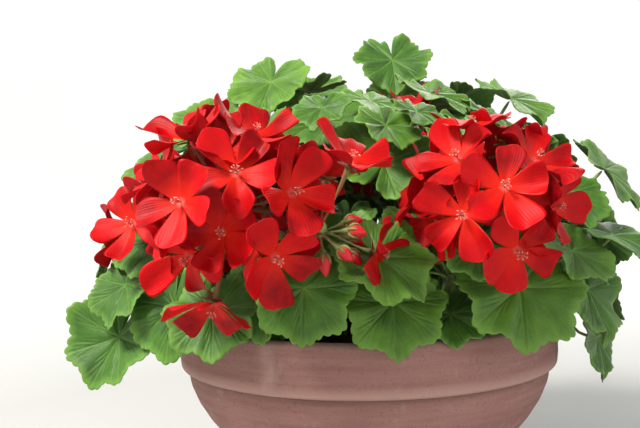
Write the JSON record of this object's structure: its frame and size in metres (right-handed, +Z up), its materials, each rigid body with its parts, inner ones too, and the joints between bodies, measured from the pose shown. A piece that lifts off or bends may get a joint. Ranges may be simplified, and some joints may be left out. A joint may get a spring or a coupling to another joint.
{
  "type": "potted flowering geranium",
  "caption": "Red-flowered geranium with round scalloped leaves, growing in a wide terracotta bowl with a tapered rim band.",
  "frame": {"origin": "middle of the pot's flat base, on the surface that the pot stands on", "axes": "+Z up the pot's axis; -Y towards the side with the two large flower heads; +X to the right as seen from there"},
  "size_m": [0.4701, 0.4636, 0.3933],
  "materials": {
    "terracotta": "matte",
    "soil": "matte",
    "stem": "matte",
    "stalk": "satin",
    "leaf": "satin",
    "petal": "satin",
    "bud": "satin"
  },
  "bodies": {
    "root": {"pot": "terracotta", "soil": "soil", "flower_stalk_left": "stalk", "flower_stalk_middle": "stalk", "flower_stalk_right": "stalk", "flower_stalk_rear": "stalk", "flower_stalk_far_left": "stalk", "bud_cluster_middle": "bud", "floret_left_1": "petal", "floret_left_2": "petal", "floret_left_3": "petal", "floret_left_4": "petal", "floret_left_5": "petal", "floret_left_6": "petal", "floret_left_7": "petal", "floret_left_8": "petal", "floret_left_9": "petal", "floret_left_10": "petal", "floret_left_11": "petal", "floret_left_12": "petal", "floret_middle_1": "petal", "floret_middle_2": "petal", "floret_right_1": "petal", "floret_right_2": "petal", "floret_right_3": "petal", "floret_right_4": "petal", "floret_right_5": "petal", "floret_right_6": "petal", "floret_right_7": "petal", "floret_right_8": "petal", "floret_right_9": "petal", "floret_right_10": "petal", "floret_right_11": "petal", "floret_rear_1": "petal", "floret_rear_2": "petal", "floret_rear_3": "petal", "floret_far_left_1": "petal", "floret_far_left_2": "petal", "leaf_front_1": "leaf", "leaf_front_2": "leaf", "leaf_front_3": "leaf", "leaf_front_4": "leaf", "leaf_front_5": "leaf", "leaf_front_6": "leaf", "leaf_front_7": "leaf", "leaf_front_8": "leaf", "leaf_left_1": "leaf", "leaf_left_2": "leaf", "leaf_left_3": "leaf", "leaf_left_4": "leaf", "leaf_right_1": "leaf", "leaf_right_2": "leaf", "leaf_right_3": "leaf", "leaf_right_4": "leaf", "leaf_right_5": "leaf", "leaf_right_6": "leaf", "leaf_top_1": "leaf", "plant_stem_left": "stem", "plant_stem_right": "stem", "plant_stem_back": "stem"}
  },
  "joints": []
}
